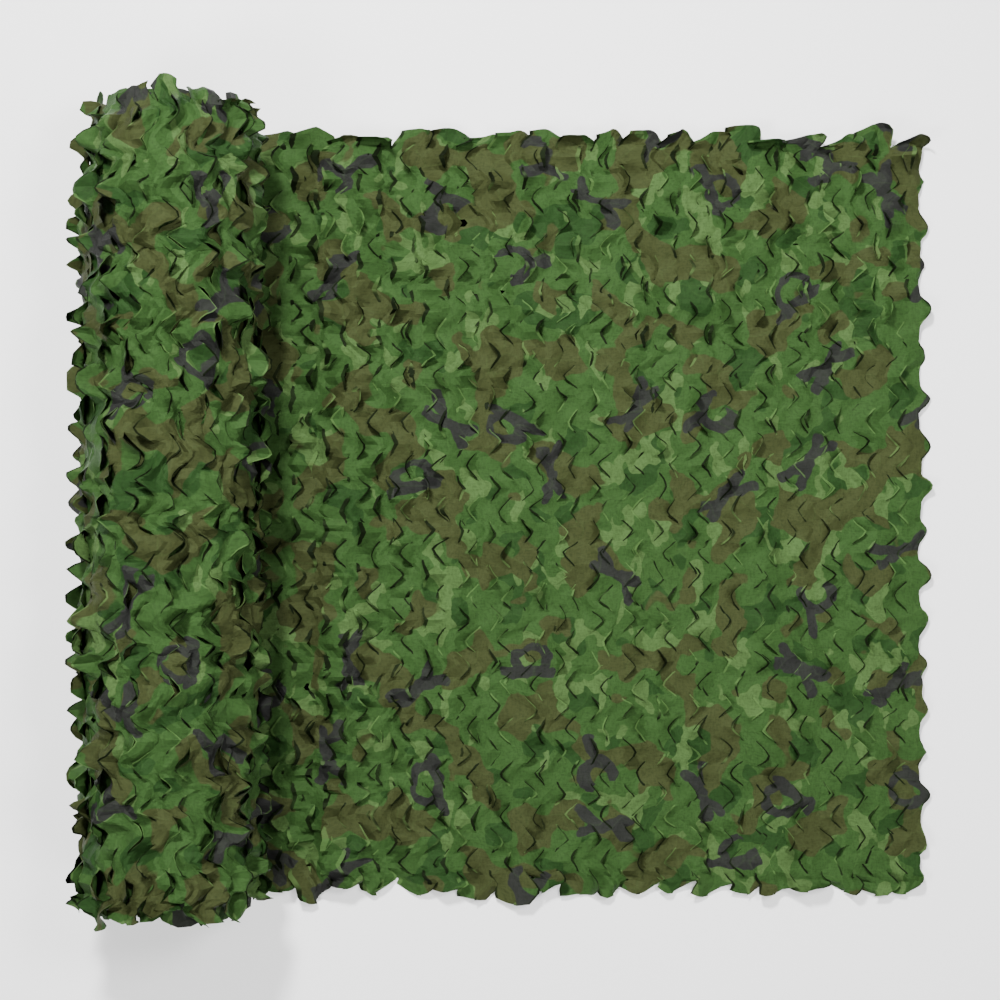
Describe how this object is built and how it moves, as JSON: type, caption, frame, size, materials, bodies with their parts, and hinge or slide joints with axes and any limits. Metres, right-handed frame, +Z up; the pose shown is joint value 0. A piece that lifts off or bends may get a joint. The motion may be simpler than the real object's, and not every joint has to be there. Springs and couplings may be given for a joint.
{
  "type": "camouflage net",
  "caption": "Length of slit camouflage cloth, its loose end laid flat and its other end wound into a soft roll, the cut tongues lifted like leaves.",
  "frame": {"origin": "on the surface the net lies on, under the middle of its outline", "axes": "+X along the cloth from the roll to the loose end, +Y across the cloth, +Z up"},
  "size_m": [1.6489, 1.5455, 0.3354],
  "materials": {
    "camouflage_cloth": "thin woven polyester, soft satin"
  },
  "bodies": {
    "root": {"net_sheet": "camouflage_cloth", "net_roll": "camouflage_cloth"}
  },
  "joints": []
}
